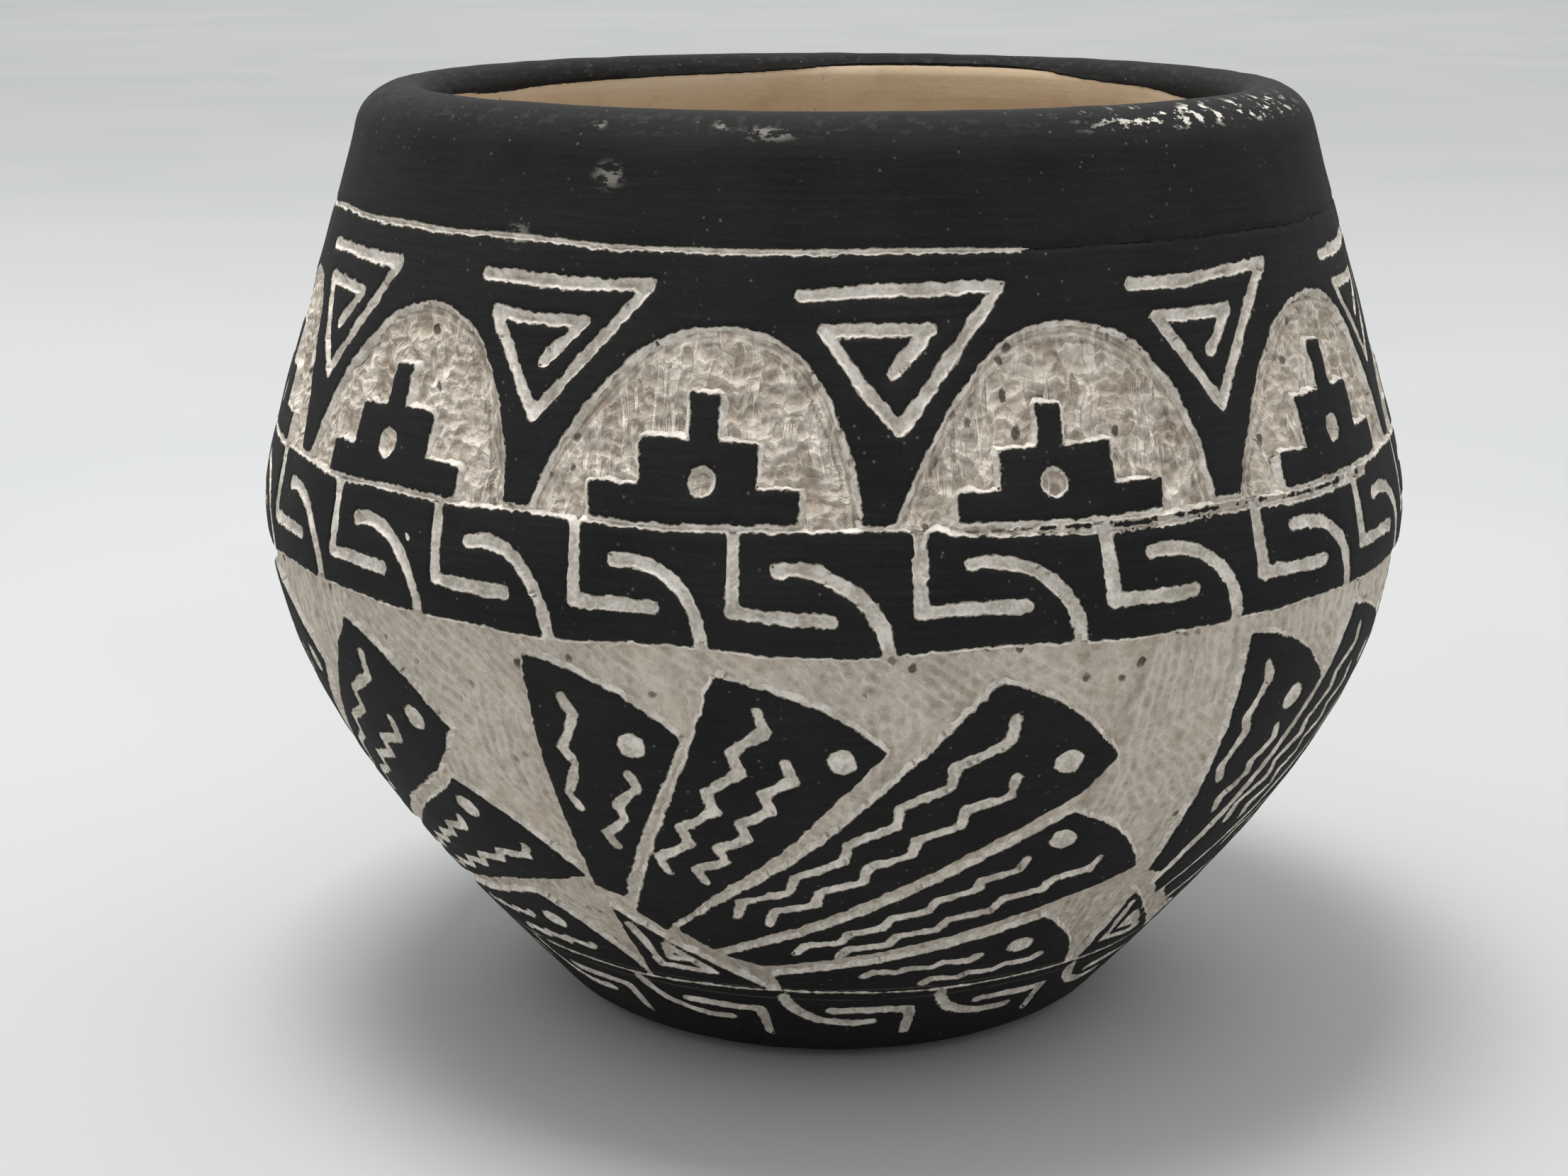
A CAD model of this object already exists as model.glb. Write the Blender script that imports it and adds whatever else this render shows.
from math import cos, pi, radians, sin

import bpy
import numpy as np
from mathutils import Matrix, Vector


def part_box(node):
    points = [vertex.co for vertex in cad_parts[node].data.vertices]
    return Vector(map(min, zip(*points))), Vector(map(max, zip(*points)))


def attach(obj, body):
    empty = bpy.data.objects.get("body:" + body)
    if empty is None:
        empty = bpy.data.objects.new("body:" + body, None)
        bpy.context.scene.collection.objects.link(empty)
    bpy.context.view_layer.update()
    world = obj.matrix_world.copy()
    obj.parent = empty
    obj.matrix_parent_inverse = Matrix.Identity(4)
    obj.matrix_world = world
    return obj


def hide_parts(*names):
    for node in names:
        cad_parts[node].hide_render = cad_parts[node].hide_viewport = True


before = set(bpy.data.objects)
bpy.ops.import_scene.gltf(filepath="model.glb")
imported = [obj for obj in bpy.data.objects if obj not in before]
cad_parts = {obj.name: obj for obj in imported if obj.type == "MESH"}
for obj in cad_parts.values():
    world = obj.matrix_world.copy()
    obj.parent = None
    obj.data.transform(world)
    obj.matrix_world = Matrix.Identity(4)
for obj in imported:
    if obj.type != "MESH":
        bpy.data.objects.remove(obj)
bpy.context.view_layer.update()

# A carved pottery jar. Sizes are millimetres and degrees until a mesh is made, which is in metres.
# Angles round the jar start at the front, -Y, and run towards +X.
MM = 0.001


def node_box(name):
    """A node's lowest and highest corners in millimetres."""
    return np.array(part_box(name)) / MM


# Heights and radii that the frame gives
LINE_WIDTH = 0.5
BASE_LINE = node_box("base_slip")[1][2] + LINE_WIDTH / 2
BAND_FOOT = node_box("wave_band_slip")[0][2]
BAND_LINE = node_box("wave_band_slip")[1][2] + LINE_WIDTH / 2
SHOULDER_LINE = node_box("shoulder_slip")[1][2] + LINE_WIDTH / 2
JAR_HEIGHT = node_box("rim_slip")[1][2]
BELLY_RADIUS = node_box("wave_band_slip")[1][0]
BELLY_ABOVE_BAND = 3.0
BELLY_HEIGHT = BAND_FOOT + BELLY_ABOVE_BAND

# Form of the wall
FOOT_RADIUS = 23.5
FOOT_CORNER = 8.0
FOOT_FLARE = 49.0
NECK_RADIUS = 46.8
NECK_LEAN = 14.5
LIP_OUTER = 5.0
LIP_INNER = 2.4
BOWL_HANDLE = 19.0
BELLY_HANDLE = 5.0
SHOULDER_HANDLE = 12.0
WALL = 6.0
FLOOR_THICKNESS = 7.0
INNER_FLOOR_RADIUS = 12.0
INNER_NECK_HANDLE = 14.0
INNER_BOWL_HANDLE = 27.0
INNER_FLOOR_HANDLE = 21.0

# Carving
RELIEF = 0.5
GROOVE_WIDTH = 1.12
SPIRAL_WIDTH = 1.0
FINE_GROOVE_WIDTH = 0.88
SCRATCH_WIDTH = 0.4
DOT_RADIUS = 1.25
PAINT_THICKNESS = 0.05
COMB_PITCH = 1.25
CHATTER_PITCH = 1.1
HATCH_PITCH = 1.25
TRIM_PITCH = 0.9
# The shoulder line's faint stretch: its middle, its start and span by cosine, the width it loses
FAINT_ANGLE = 62
FAINT_FROM = 0.55
FAINT_SPAN = 0.25
FAINT_SHARE = 0.75
FAINT_REACH = 0.5
# How far the slip goes down inside: its mean, and its one, two and three waves round the mouth
SLIP_DROP = 2.4
SLIP_WAVES = (0.5, -0.63, -0.58)
SLIP_FOOT = 0.4
BASE_SCRATCHES = (9.6, 11.1)
# Chips of the lip: the heights in metres, then the angles in radians, where they set in and end
CHIPS_FOOT = (90.0 * MM, 90.8 * MM)
CHIPS_HEAD = (91.7 * MM, JAR_HEIGHT * MM)
CHIPS_LEFT = (0.42, 0.62)
CHIPS_RIGHT = (1.05, 1.3)
# Rubbed spots of the rim and of its line: angle, height, size and how much flatter than round
RUBBED_SPOTS = (
    (-24.5, 87.0, 2.1, 1.3),
    (-8.0, 90.6, 3.4, 4.0),
    (-13.0, 91.2, 1.3, 1.7),
    (-27.0, 91.0, 1.0, 1.7),
    (-34.5, SHOULDER_LINE + 0.4, 1.8, 1.2),
)

# Pattern counts and places
ARCH_COUNT = 11
ARCH_START = 19.8
ARCH_GAP = 3.2
ARCH_HEADROOM = 6.0
TERRACE_HEADROOM = 5.4
TERRACE_WIDTHS = (0.65, 0.36, 0.09)
TERRACE_TIERS = (0.28, 0.36, 0.36)
TERRACE_RISES = (0.9, 1.1) + (1.0,) * (ARCH_COUNT - 2)
TERRACE_DOT_RISE = 0.05
TERRACE_DOT_SLIM = 1.1
SPIRAL_DROP = 2.9
SPIRAL_SAG = 0.5
SPIRAL_PITCH = 3.3
SPIRAL_FOOT = 7.8
BAND_SAG = 0.35
WAVE_COUNT = 23
WAVE_START = -0.4
BASE_WAVE_COUNT = 15
BASE_WAVE_START = 1.5
BASE_WAVE_TOP = 1.2
BASE_WAVE_HEIGHT = 4.6
FAN_COUNT = 5
FAN_START = -29.0
FRONT_FAN_STEP = 68.2
LEFT_FAN_STEP = 65.7
FAN_SINK = 0.2
FAN_WRAP = 140
CROWN_BULGE = 1.3
ZIGZAG_LEAN = 0.72

# How the hand and the tool wander
HAND_DRIFT = 0.17
HAND_SPAN = 20.0
TREMOR_SPREAD = (0.6, 1.6)
EDGE_RAGGED = 0.05
EDGE_SPAN = 1.3
WIDE_EDGE_SPAN = 2.6 * EDGE_SPAN
EDGE_CHIPS = 0.8
EDGE_DROP = 0.1
EDGE_RUN = 0.34
WALL_DRAFT = 0.55
WALL_SINK = 0.25
SLIP_RIPPLE = 0.018
RIPPLE_SPAN = 6.0
# How far the front's arches and hooks were laid off their even places, from left to right
ARCH_SHIFTS = (-1.0, 0.3, -0.9, 2.3)
SPIRAL_SHIFTS = (-1.0, 0.1, 0.6, 1.6)
HOOK_SHIFTS = (1.2, 1.1, 0.4, -1.5, -2.2, -1.1, -0.5, 1.1, 2.3)

# Each feather in shares of its fan's panel, across and up: the outline from the upper root by
# the crown's corner and the tip to the lower root, then the dot, then the ends of each zigzag,
# its turns and how far it swings to either side.
FEATHERS = (
    (
        ((0.000, 0.322), (0.000, 0.957), (0.215, 0.772), (0.052, 0.297)),
        (0.143, 0.749),
        (((0.059, 0.859), (0.030, 0.540)), ((0.141, 0.668), (0.067, 0.450))),
        5,
        0.55,
    ),
    (
        ((0.058, 0.256), (0.267, 0.936), (0.487, 0.762), (0.104, 0.202)),
        (0.423, 0.739),
        (((0.327, 0.847), (0.134, 0.386)), ((0.357, 0.719), (0.193, 0.373))),
        9,
        0.72,
    ),
    (
        ((0.124, 0.214), (0.624, 0.918), (0.810, 0.706), (0.765, 0.616), (0.186, 0.146)),
        (0.731, 0.711),
        (((0.654, 0.821), (0.223, 0.268)), ((0.669, 0.668), (0.282, 0.256))),
        11,
        0.72,
    ),
    (
        ((0.205, 0.130), (0.765, 0.570), (0.954, 0.348), (0.802, 0.276), (0.282, 0.096)),
        (0.765, 0.489),
        (((0.721, 0.425), (0.327, 0.157)), ((0.854, 0.393), (0.401, 0.151))),
        11,
        0.5,
    ),
    (
        ((0.297, 0.062), (0.802, 0.232), (0.966, 0.010), (0.312, 0.010)),
        (0.788, 0.140),
        (((0.713, 0.122), (0.461, 0.076)), ((0.854, 0.075), (0.594, 0.042))),
        7,
        0.3,
    ),
)
HUB_OUTLINE = ((0.007, 0.262), (0.030, 0.232), (0.283, 0.010), (0.007, 0.010))
HUB_SPIRAL = ((0.03, 0.205), (0.052, 0.066), (0.172, 0.056), (0.086, 0.143), (0.082, 0.098), (0.117, 0.096))


# The wall's profile
def bezier(start, start_handle, end_handle, end, count=400):
    """Points of a cubic curve."""
    t = np.linspace(0, 1, count)[:, None]
    points = [np.array(point, float) for point in (start, start_handle, end_handle, end)]
    return (
        points[0] * (1 - t) ** 3
        + 3 * points[1] * t * (1 - t) ** 2
        + 3 * points[2] * t**2 * (1 - t)
        + points[3] * t**3
    )


def arc(centre, radius, first, last, count=120):
    """Points of an arc between two angles."""
    turn = np.radians(np.linspace(first, last, count))
    return np.column_stack((centre[0] + radius * np.cos(turn), centre[1] + radius * np.sin(turn)))


def wall_profile():
    """The profile from the foot over the lip and down inside to the belly: radius, height."""
    flare = radians(FOOT_FLARE)
    lean = radians(NECK_LEAN)
    rise = np.array((-sin(lean), cos(lean)))
    belly = np.array((BELLY_RADIUS, BELLY_HEIGHT))
    inner_belly = belly - (WALL, 0)
    inner_rise = np.array((0, INNER_NECK_HANDLE))
    foot = arc((FOOT_RADIUS, FOOT_CORNER), FOOT_CORNER, -90, FOOT_FLARE - 90)
    foot_way = np.array((cos(flare), sin(flare)))
    neck = np.array((NECK_RADIUS, JAR_HEIGHT - LIP_OUTER * (1 - sin(lean))))
    lip_centre = neck - LIP_OUTER * np.array((cos(lean), sin(lean)))
    inner_centre = (lip_centre[0], JAR_HEIGHT - LIP_INNER)
    mouth = np.array((inner_centre[0] - LIP_INNER, inner_centre[1]))
    runs = (
        foot,
        bezier(foot[-1], foot[-1] + foot_way * BOWL_HANDLE, belly - (0, BOWL_HANDLE), belly)[1:],
        bezier(belly, belly + (0, BELLY_HANDLE), neck - rise * SHOULDER_HANDLE, neck)[1:],
        arc(lip_centre, LIP_OUTER, NECK_LEAN, 90)[1:],
        arc(inner_centre, LIP_INNER, 90, 180)[1:],
        bezier(mouth, mouth - inner_rise, inner_belly + inner_rise, inner_belly)[1:],
    )
    return np.concatenate(runs)


PROFILE = wall_profile()
RUN = np.concatenate(([0], np.cumsum(np.hypot(*np.diff(PROFILE, axis=0).T))))
TANGENT = np.gradient(PROFILE, RUN, axis=0)
CREST = int(np.argmax(PROFILE[:, 1]))
CREST_RUN = RUN[CREST]


def wall_radius(run):
    """The wall's radius at a distance along its profile."""
    return np.interp(run, RUN, PROFILE[:, 0])


def run_at(height):
    """The distance along the outside profile at a height."""
    return np.interp(height, PROFILE[:CREST, 1], RUN[:CREST])


def run_inside(height):
    """The distance along the profile at a height inside the mouth."""
    return np.interp(-np.asarray(height), -PROFILE[CREST:, 1], RUN[CREST:])


def on_wall(angle, run, lift=0.0):
    """Points on the wall, lifted off it, in millimetres."""
    radius = wall_radius(run) + lift * np.interp(run, RUN, TANGENT[:, 1])
    height = np.interp(run, RUN, PROFILE[:, 1]) - lift * np.interp(run, RUN, TANGENT[:, 0])
    turn = np.radians(angle)
    return np.stack((radius * np.sin(turn), -radius * np.cos(turn), height), axis=-1)


def ground_depth(run):
    """How far the bare clay lies below the slip: carved outside, only painted inside the mouth."""
    share = np.clip((run - CREST_RUN) / (0.5 * pi * LIP_INNER), 0, 1)
    return RELIEF + (PAINT_THICKNESS - RELIEF) * share * share * (3 - 2 * share)


def tremor(points, span, seed, waves=12):
    """A smooth random wander with a given span, about 1 high."""
    draw = np.random.default_rng(seed)
    ways = draw.normal(size=(waves, 3))
    lengths = np.linalg.norm(ways, axis=1)[:, None]
    ways *= (2 * pi / span) * draw.uniform(*TREMOR_SPREAD, (waves, 1)) / lengths
    starts = draw.uniform(0, 2 * pi, waves)
    total = np.zeros(points.shape[:-1])
    for way, start in zip(ways, starts):
        total += np.sin(points @ way + start)
    return total / np.sqrt(waves / 2)


# Distances on the unrolled wall
def spot(angle, height):
    """A point of the wall by its angle from a motif's middle and its height, unrolled."""
    run = run_at(height)
    return (radians(angle) * wall_radius(run), run)


def edge_distance(x, y, start, end):
    """The distance to a straight edge."""
    along = np.subtract(end, start)
    share = ((x - start[0]) * along[0] + (y - start[1]) * along[1]) / (along @ along)
    share = np.clip(share, 0, 1)
    return np.hypot(x - start[0] - share * along[0], y - start[1] - share * along[1])


def stroke_distance(x, y, path):
    """The distance to a line through points."""
    return np.min([edge_distance(x, y, a, b) for a, b in zip(path, path[1:])], axis=0)


def inside_distance(x, y, corners):
    """The distance to an outline, positive inside it."""
    ring = list(corners) + [corners[0]]
    inside = np.zeros(np.shape(x), bool)
    for (ax, ay), (bx, by) in zip(ring, ring[1:]):
        if ay == by:
            continue
        crossing = (ay > y) != (by > y)
        inside ^= crossing & (x < (bx - ax) * (y - ay) / (by - ay) + ax)
    return np.where(inside, 1, -1) * stroke_distance(x, y, ring)


def round_through(start, middle, end, count=14):
    """Points of the circle's arc through three points."""
    a, b, c = (complex(*point) for point in (start, middle, end))
    turn = (c - a) / (b - a)
    centre = (b - a) * (turn - abs(turn) ** 2) / (2j * turn.imag) + a
    radius = abs(a - centre)
    first, _, last = np.unwrap([np.angle(point - centre) for point in (a, b, c)])
    angles = np.linspace(first, last, count)
    return [(centre.real + radius * cos(t), centre.imag + radius * sin(t)) for t in angles]


def zigzag(start, end, turns, swing):
    """The corners of a zigzag between two points, with long runs and short ones in turn."""
    start, end = np.array(start), np.array(end)
    along = end - start
    across = np.array((-along[1], along[0])) / np.hypot(*along) * swing
    corners = []
    for turn in range(1, turns + 2):
        pairs = turn // 2 + (0 if turn % 2 else -ZIGZAG_LEAN)
        corners.append(start + along * 2 * pairs / turns + across * (-1 if turn % 2 else 1))
    return corners


def unrolled(angle, run):
    """The distance round the wall for angles at runs along the profile."""
    return np.radians(angle) * wall_radius(run)


def across_repeat(angle, run, count, start, shifts=(0,)):
    """The distance round from the middle of a ring's nearest repeat, hand-laid shifts taken out."""
    step = 360 / count
    middles = start - step * (len(shifts) // 2) + np.arange(len(shifts)) * 360 / count
    even = angle - np.interp(angle, middles, shifts, period=360)
    return unrolled((even - start + step / 2) % step - step / 2, run)


# Where the slip is left standing: each field is the distance in from the nearest cut edge
def line_width(angle):
    """The shoulder line fades out towards the right of the front."""
    near = np.cos(np.radians(angle - FAINT_ANGLE))
    return SCRATCH_WIDTH * (1 - FAINT_SHARE * np.clip((near - FAINT_FROM) / FAINT_SPAN, 0, 1))


def rim_field(angle, run):
    """From the shoulder line over the lip to the wavy end of the slip inside."""
    turn = np.radians(angle)
    one, two, three = SLIP_WAVES
    slip_drop = SLIP_DROP + one * np.cos(turn) + two * np.cos(2 * turn) + three * np.sin(3 * turn)
    lower = run - run_at(SHOULDER_LINE) - line_width(angle) / 2
    return np.minimum(lower, run_inside(JAR_HEIGHT - slip_drop) - run)


ARCH_STEP = 360 / ARCH_COUNT
ARCH_TOP = SHOULDER_LINE - ARCH_HEADROOM
ARCH_HALF = spot((ARCH_STEP - ARCH_GAP) / 2, BAND_LINE)[0]


def arch_spot(across, up):
    """A point of the arch by its shares of the half width and of the rise."""
    return (across * ARCH_HALF, run_at(BAND_LINE + up * (ARCH_TOP - BAND_LINE)))


ARCH_PATH = (
    round_through(arch_spot(1, 0), arch_spot(0.87, 0.44), arch_spot(0.6, 0.83))
    + round_through(arch_spot(0.6, 0.83), arch_spot(0.12, 1), arch_spot(-0.45, 0.79))[1:]
    + round_through(arch_spot(-0.45, 0.79), arch_spot(-0.81, 0.4), arch_spot(-1.03, 0))[1:]
    + [arch_spot(-1.03, -0.3), arch_spot(1, -0.3)]
)
SPIRAL_TOP = SHOULDER_LINE - SPIRAL_DROP
SPIRAL_PATH = (
    spot(-0.23 * ARCH_STEP, SPIRAL_TOP - SPIRAL_SAG),
    spot(0.345 * ARCH_STEP, SPIRAL_TOP),
    spot(0.03 * ARCH_STEP, BAND_LINE + SPIRAL_FOOT),
    spot(-0.16 * ARCH_STEP, SPIRAL_TOP - SPIRAL_PITCH),
    spot(0.14 * ARCH_STEP, SPIRAL_TOP - SPIRAL_PITCH),
    spot(0.03 * ARCH_STEP, SPIRAL_TOP - 2 * SPIRAL_PITCH),
)


def arch_field(angle, run):
    """Positive inside an arch window."""
    across = across_repeat(angle, run, ARCH_COUNT, ARCH_START, ARCH_SHIFTS)
    return inside_distance(across, run, ARCH_PATH)


def shoulder_field(angle, run):
    """The black field round the arches, with the triangular spirals cut into it."""
    between = across_repeat(angle, run, ARCH_COUNT, ARCH_START + ARCH_STEP / 2, SPIRAL_SHIFTS)
    spiral = stroke_distance(between, run, SPIRAL_PATH) - SPIRAL_WIDTH / 2
    upper = run_at(SHOULDER_LINE) - line_width(angle) / 2 - run
    lower = run - run_at(BAND_LINE) - LINE_WIDTH / 2
    return np.min([upper, lower, -arch_field(angle, run), spiral], axis=0)


def terrace_field(rise):
    """The field of a stepped block in an arch, with its dot, for its share of the usual height."""
    foot = BAND_LINE + LINE_WIDTH / 2
    full = (ARCH_TOP - TERRACE_HEADROOM - foot) * rise
    corners = []
    level = foot
    for width, tier in zip(TERRACE_WIDTHS, TERRACE_TIERS):
        corners.append((ARCH_HALF * width, run_at(level)))
        level += full * tier
        corners.append((ARCH_HALF * width, run_at(level)))
    corners += [(-across, up) for across, up in reversed(corners)]
    dot_run = run_at(foot + full * (TERRACE_TIERS[0] + TERRACE_DOT_RISE))

    def field(angle, run):
        across = across_repeat(angle, run, ARCH_COUNT, ARCH_START, ARCH_SHIFTS)
        dot = np.hypot(across * TERRACE_DOT_SLIM, run - dot_run) - DOT_RADIUS
        return np.minimum(inside_distance(across, run, corners), dot)

    return field


def hook_strokes(count, top, height, way):
    """The L and the curl of one hook of a band, as two lines of points, upright or turned over."""
    step = 360 / count

    def place(across, down):
        """A point by its share across the step and its depth below the upper edge."""
        return spot(way * (across - 0.5) * step, top - height / 2 + way * (0.5 - down) * height)

    bend = [place(0.03, -0.1), place(0.06, 0.68), place(0.58, 0.70)]
    return bend, round_through(place(0.31, 0.31), place(0.73, 0.5), place(0.88, 1.1))


WAVE_STROKES = hook_strokes(WAVE_COUNT, BAND_LINE, BAND_LINE - BAND_FOOT, 1)
BASE_STROKES = hook_strokes(BASE_WAVE_COUNT, BASE_LINE - BASE_WAVE_TOP, BASE_WAVE_HEIGHT, -1)


def hook_field(across, run, strokes):
    """The distance to the nearest hook groove of a band."""
    return np.min([stroke_distance(across, run, path) for path in strokes], axis=0) - GROOVE_WIDTH / 2


# A second scratch below the band's line, on the right of the front
SECOND_LINE_WIDTH = 0.42
SECOND_LINE_MIDDLE = 34.0
SECOND_LINE = (spot(-25, BAND_LINE - 0.5), spot(-8, BAND_LINE - 1.0), spot(26, BAND_LINE - 0.9))


def wave_field(angle, run):
    """The ring of hooks round the belly."""
    across = across_repeat(angle, run, WAVE_COUNT, WAVE_START, HOOK_SHIFTS)
    hooks = hook_field(across, run, WAVE_STROKES)
    across = unrolled(angle - SECOND_LINE_MIDDLE, run)
    second = stroke_distance(across, run, SECOND_LINE) - SECOND_LINE_WIDTH / 2
    upper = run_at(BAND_LINE) - LINE_WIDTH / 2 - run
    return np.min([upper, run - run_at(BAND_FOOT - BAND_SAG), hooks, second], axis=0)


def base_field(angle, run):
    """The black zone above the foot with its smaller hooks."""
    across = across_repeat(angle, run, BASE_WAVE_COUNT, BASE_WAVE_START)
    hooks = hook_field(across, run, BASE_STROKES)
    return np.min([run_at(BASE_LINE) - run, run - run_at(SLIP_FOOT), hooks], axis=0)


FAN_FOOT = BASE_LINE - FAN_SINK
FAN_HEIGHT = BAND_FOOT - BASE_LINE


def panel_spot(share, middle):
    """A point of a fan's panel, unrolled about the panel's middle share."""
    return spot((share[0] - middle) * FRONT_FAN_STEP, FAN_FOOT + share[1] * FAN_HEIGHT)


def bulged(start, end, bulge):
    """An arc that stands out to the left of the way from start to end."""
    start, end = np.array(start), np.array(end)
    along = (end - start) / np.hypot(*(end - start))
    middle = (start + end) / 2 + bulge * np.array((-along[1], along[0]))
    return round_through(start, middle, end)


def fan_part(middle, corners, dots, paths):
    """The field of one part of a fan, for angles from the fan's start."""

    def field(angle, run, cut=True):
        """The outline, less the dots and lines cut into it."""
        across = unrolled(angle - middle * FRONT_FAN_STEP, run)
        near = [inside_distance(across, run, corners)]
        if cut:
            near += [np.hypot(across - x, run - y) - DOT_RADIUS for x, y in dots]
            near += [stroke_distance(across, run, path) - FINE_GROOVE_WIDTH / 2 for path in paths]
        return np.min(near, axis=0)

    return field


def feather_part(outline, dot, zigzags, turns, swing):
    """A feather with its rounded crown, its dot and its zigzags."""
    middle = sum(point[0] for point in outline) / len(outline)
    root, corner, tip, *heel = [panel_spot(point, middle) for point in outline]
    corners = [root] + bulged(corner, tip, CROWN_BULGE) + heel
    paths = [zigzag(panel_spot(a, middle), panel_spot(b, middle), turns, swing) for a, b in zigzags]
    return fan_part(middle, corners, [panel_spot(dot, middle)], paths)


def hub_part():
    """The triangle at a fan's root, with its spiral."""
    middle = HUB_OUTLINE[2][0] / 2
    corners = [panel_spot(point, middle) for point in HUB_OUTLINE]
    return fan_part(middle, corners, [], [[panel_spot(point, middle) for point in HUB_SPIRAL]])


def fan_angle(fan):
    """Where a fan starts: the three seen in front are closer than the rest."""
    back_step = (360 - FRONT_FAN_STEP - LEFT_FAN_STEP) / (FAN_COUNT - 2)
    front = min(fan, 1)
    return FAN_START + front * FRONT_FAN_STEP + (fan - front) * back_step


FAN_FIELDS = [feather_part(*feather) for feather in FEATHERS] + [hub_part()]


def fan_field(angle, run):
    """All the fans at once, without what is cut in them."""
    near = []
    for fan in range(FAN_COUNT):
        local = (angle - fan_angle(fan) + FAN_WRAP) % 360 - FAN_WRAP
        near += [field(local, run, False) for field in FAN_FIELDS]
    return np.max(near, axis=0)


# Meshes of the slip, cut out of a fine grid along the carved edges
PINCH_ROUNDS = 4
SLIP_SMOOTH_ANGLE = 38


def snapped(field, ring):
    """Moves of the grid points that lie nearest the cut edge onto it, in cells across and up."""
    across = np.zeros(field.shape)
    up = np.zeros(field.shape)
    nearest = np.full(field.shape, np.inf)
    for axis, shift, other in ((1, across, up), (0, up, across)):
        ahead = np.roll(field, -1, axis)
        cross = (field >= 0) != (ahead >= 0)
        if axis == 0:
            cross[-1] = False
        elif not ring:
            cross[:, -1] = False
        share = np.where(cross, field / np.where(cross, field - ahead, 1), np.inf)
        for step in (0, 1):
            move = np.roll(share - step, step, axis)
            here = np.roll(cross & ((share >= 0.5) == step), step, axis)
            better = here & (np.abs(move) < nearest)
            nearest[better] = np.abs(move)[better]
            shift[better] = move[better]
            other[better] = 0
    return across, up, np.isfinite(nearest)


def sheet_faces(field, on_edge, ring):
    """The grid's faces inside the cut edge, as quads and corner triangles."""
    index = np.arange(field.size).reshape(field.shape)
    level = np.where(on_edge, 0, field)

    def corners(values):
        """The four corner values of each cell, counter-clockwise from outside."""
        right = np.roll(values, -1, 1)
        cells = np.stack((values[:-1], right[:-1], right[1:], values[1:]), -1)
        return (cells if ring else cells[:, :-1]).reshape(-1, 4)

    ids, levels, depths = corners(index), corners(level), corners(field)
    standing = levels >= 0
    quads = ids[standing.all(1) & (depths.mean(1) > 0)]
    triangles = []
    for gone in range(4):
        kept = [corner for corner in range(4) if corner != gone]
        cut = standing[:, kept].all(1) & ~standing[:, gone] & (depths[:, kept].mean(1) > 0)
        triangles.append(ids[cut][:, kept])
    return quads, np.concatenate(triangles)


def rim_edges(quads, triangles):
    """The edges that only one face has, each in its face's direction."""
    edges = [quads[:, (a, (a + 1) % 4)] for a in range(4)]
    edges += [triangles[:, (a, (a + 1) % 3)] for a in range(3)]
    edges = np.concatenate(edges)
    span = edges.max() + 1
    keys = edges[:, 0] * span + edges[:, 1]
    return edges[~np.isin(keys, edges[:, 1] * span + edges[:, 0])]


def unpinched(quads, triangles):
    """The faces without those at a point where two cut edges meet, so that every wall closes."""
    for _ in range(PINCH_ROUNDS):
        starts, times = np.unique(rim_edges(quads, triangles)[:, 0], return_counts=True)
        pinched = starts[times > 1]
        quads = quads[~np.isin(quads, pinched).any(1)]
        triangles = triangles[~np.isin(triangles, pinched).any(1)]
    return quads, triangles


def left_black(angle, run):
    """Where a cut edge shows no clay: inside the mouth and on the line's faint stretch."""
    near_line = np.abs(run - run_at(SHOULDER_LINE)) < FAINT_REACH
    faint = near_line & (line_width(angle) < SCRATCH_WIDTH / 2)
    return faint | (run > CREST_RUN)


def linked(name, data):
    """A new object in the scene."""
    made = bpy.data.objects.new(name, data)
    bpy.context.collection.objects.link(made)
    return made


def select_alone(piece):
    """Makes a piece the only one that operators work on."""
    bpy.ops.object.select_all(action="DESELECT")
    piece.select_set(True)
    bpy.context.view_layer.objects.active = piece


def keep_values(mesh, name, values):
    """Keeps a value at each point of a mesh, for its material to read."""
    kept = mesh.attributes.new(name, "FLOAT", "POINT")
    kept.data.foreach_set("value", values.astype(np.float32))


def carved_depth(field, angle, run, places, ragged):
    """The field as the hand cut it, with the motifs adrift and their edges ragged."""
    drift_angle = np.degrees(HAND_DRIFT * tremor(places, HAND_SPAN, 1) / wall_radius(run))
    drift_run = HAND_DRIFT * tremor(places, HAND_SPAN, 2)
    depth = field(angle + drift_angle, run + drift_run)
    chips = np.random.default_rng(depth.shape[1]).normal(size=depth.shape)
    wander = tremor(places, EDGE_SPAN, 3) + tremor(places, WIDE_EDGE_SPAN, 4)
    return depth + ragged * (wander + EDGE_CHIPS * chips)


def inward(depth, width, height):
    """The way in from the nearest cut edge, across and up, on a grid with cells of this size."""
    slope_up, slope_across = np.gradient(depth)
    slope = np.stack((slope_across / width, slope_up / height), -1)
    slope = slope / np.maximum(np.linalg.norm(slope, axis=-1, keepdims=True), 1e-6)
    return slope[..., 0], slope[..., 1]


def shell_mesh(name, top, back, quads, triangles):
    """A closed mesh of a sheet, its back and its walls, its grid points and where each wall starts."""
    used = np.union1d(quads, triangles)
    quads, triangles = np.searchsorted(used, quads), np.searchsorted(used, triangles)
    rim = rim_edges(quads, triangles)
    count = len(used)
    walls = np.column_stack((rim[:, 1], rim[:, 0], rim[:, 0] + count, rim[:, 1] + count))
    points = np.concatenate((top.reshape(-1, 3)[used], back.reshape(-1, 3)[used])) * MM
    faces = quads.tolist() + triangles.tolist()
    faces += (quads[:, ::-1] + count).tolist() + (triangles[:, ::-1] + count).tolist() + walls.tolist()
    mesh = bpy.data.meshes.new(name)
    mesh.from_pydata(points.tolist(), [], faces)
    return mesh, used, rim[:, 0]


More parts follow.
